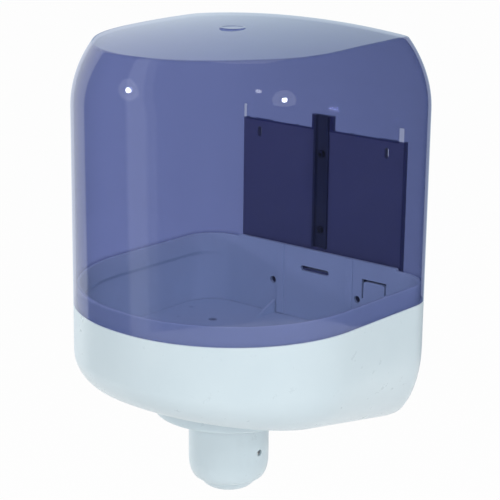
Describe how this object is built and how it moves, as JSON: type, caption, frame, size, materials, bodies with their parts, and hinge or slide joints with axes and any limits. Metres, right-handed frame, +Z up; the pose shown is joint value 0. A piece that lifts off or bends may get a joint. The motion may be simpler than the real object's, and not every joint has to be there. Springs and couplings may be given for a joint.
{
  "type": "centrefeed roll dispenser",
  "caption": "Wall-hung dispenser for a centre-pull paper roll: tinted lift-off hood over a white tray with a nozzle below.",
  "frame": {"origin": "on the wall plane, on the centre line, at the height of the seam between hood and tray", "axes": "+Z up, +Y into the wall, so the front faces -Y, +X to the right seen from the front"},
  "size_m": [0.2398, 0.234, 0.3728],
  "materials": {
    "clear_hood": "polished, tinted, see-through",
    "white_plastic": "satin gloss",
    "navy_plastic": "satin",
    "rail_plastic": "satin",
    "grip_rubber": "matt",
    "screw_steel": "zinc plated"
  },
  "bodies": {
    "wall_unit": {"back_panel": "navy_plastic", "centre_rail": "rail_plastic", "rail_screw_lower": "screw_steel", "rail_screw_upper": "screw_steel", "panel_screw_left": "screw_steel", "panel_screw_right": "screw_steel", "tray": "white_plastic", "roll_support": "white_plastic", "support_screw_1": "screw_steel", "support_screw_2": "screw_steel", "support_screw_3": "screw_steel", "support_screw_4": "screw_steel", "nozzle_ring": "white_plastic", "ring_screw_1": "screw_steel", "ring_screw_2": "screw_steel", "ring_screw_3": "screw_steel"},
    "hood": {"hood": "clear_hood"},
    "nozzle": {"nozzle_sleeve": "white_plastic", "nozzle_cup": "white_plastic", "paper_grip": "grip_rubber", "nozzle_screw_left": "screw_steel", "nozzle_screw_right": "screw_steel"}
  },
  "joints": [
    {"name": "hood_lift", "type": "slide", "parent": "wall_unit", "child": "hood", "axis": [0, 0, 1], "range_m": [0, 0.16]},
    {"name": "nozzle_twist", "type": "hinge", "parent": "wall_unit", "child": "nozzle", "pos_m": [0, -0.118, -0.09], "axis": [0, 0, 1], "range_deg": [0, 35]}
  ]
}
